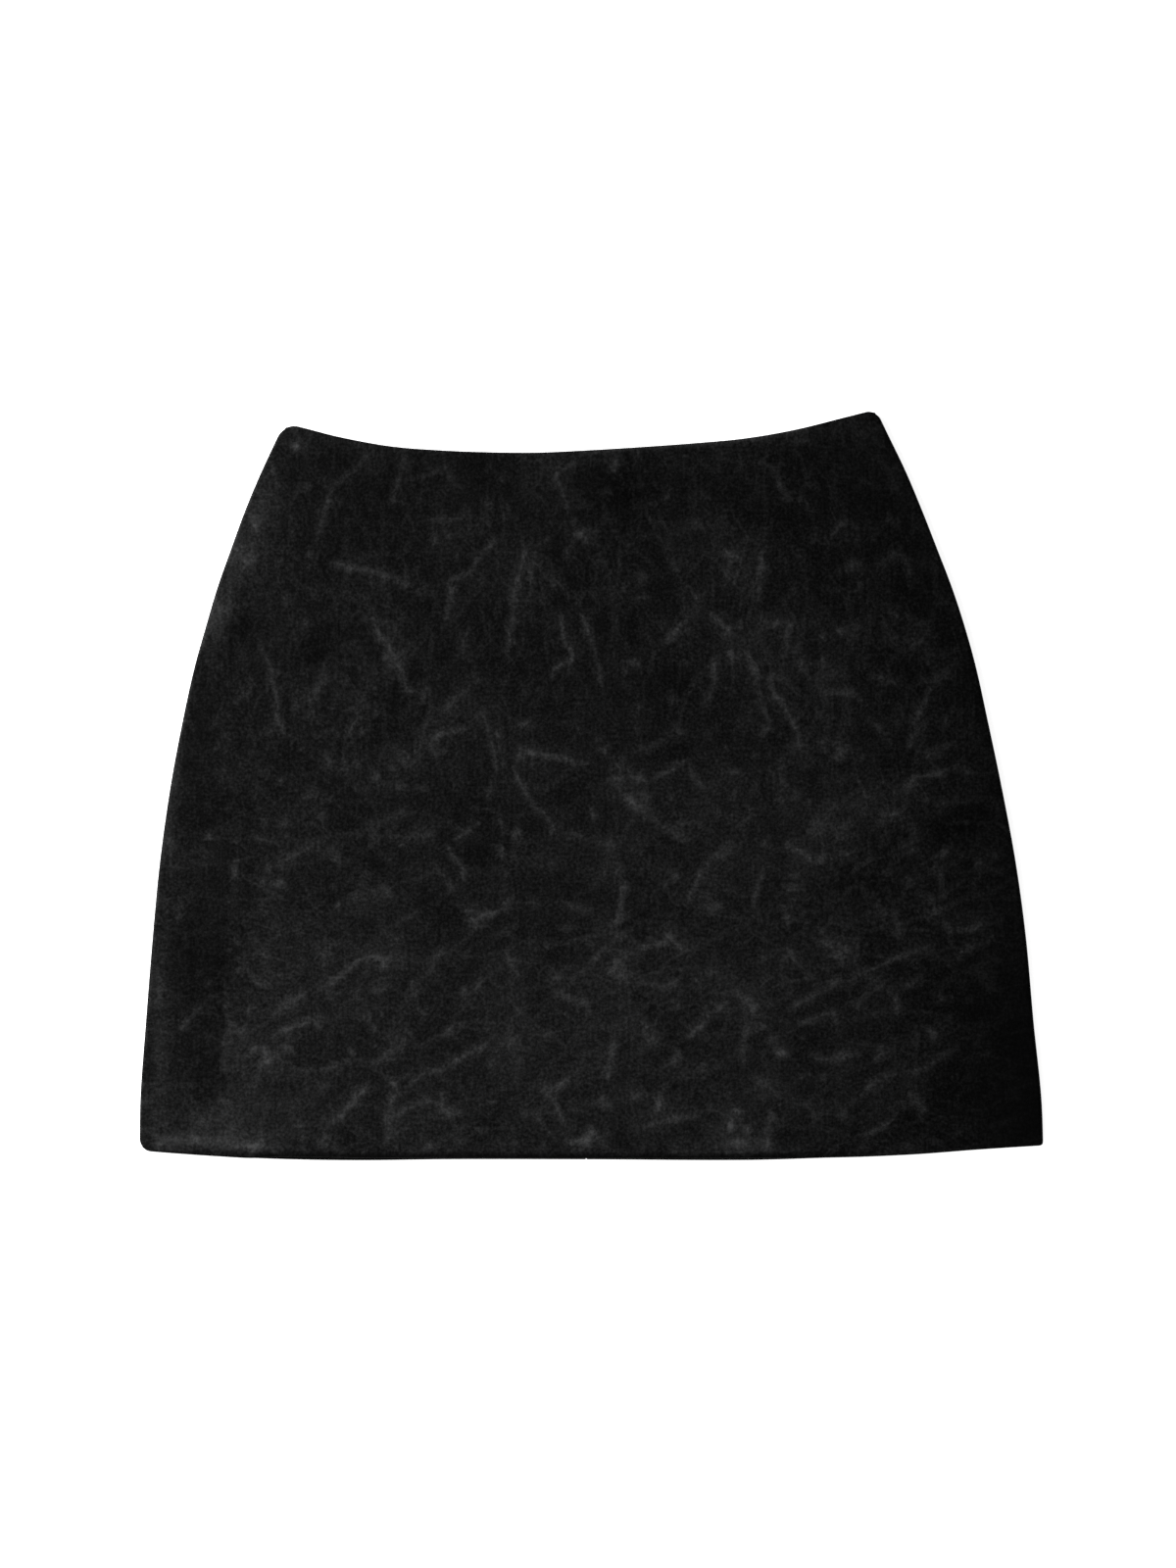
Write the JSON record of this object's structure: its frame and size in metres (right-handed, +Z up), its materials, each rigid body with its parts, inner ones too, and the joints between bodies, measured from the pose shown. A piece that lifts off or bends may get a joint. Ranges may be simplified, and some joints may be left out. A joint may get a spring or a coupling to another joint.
{
  "type": "leather mini skirt",
  "caption": "Plain A-line leather mini skirt laid flat with its front up, with a curved waist edge, a turned hem and a concealed zip in the centre back.",
  "frame": {"origin": "on the surface that the skirt lies on, under the middle of its outline's box", "axes": "+X towards the wearer's left, along the hem; +Y towards the waist; +Z up, out of the front"},
  "size_m": [0.535, 0.4434, 0.0082],
  "materials": {
    "leather": "matt nap, near black, with a web of paler creases and mottling",
    "zip_tape": "plain woven black tape",
    "zip_coil": "black nylon coil",
    "zip_metal": "black enamelled zinc"
  },
  "bodies": {
    "skirt": {"front_panel": "leather", "back_panel_left": "leather", "back_panel_right": "leather", "zip_tape_left": "zip_tape", "zip_tape_right": "zip_tape", "zip_chain": "zip_coil", "zip_slider": "zip_metal"},
    "zip_pull": {"zip_pull": "zip_metal"}
  },
  "joints": [
    {"name": "pull_hinge", "type": "hinge", "parent": "skirt", "child": "zip_pull", "pos_m": [-0.003, 0.17874, 0.00125], "axis": [1, 0, 0], "range_deg": [0, 170]}
  ]
}
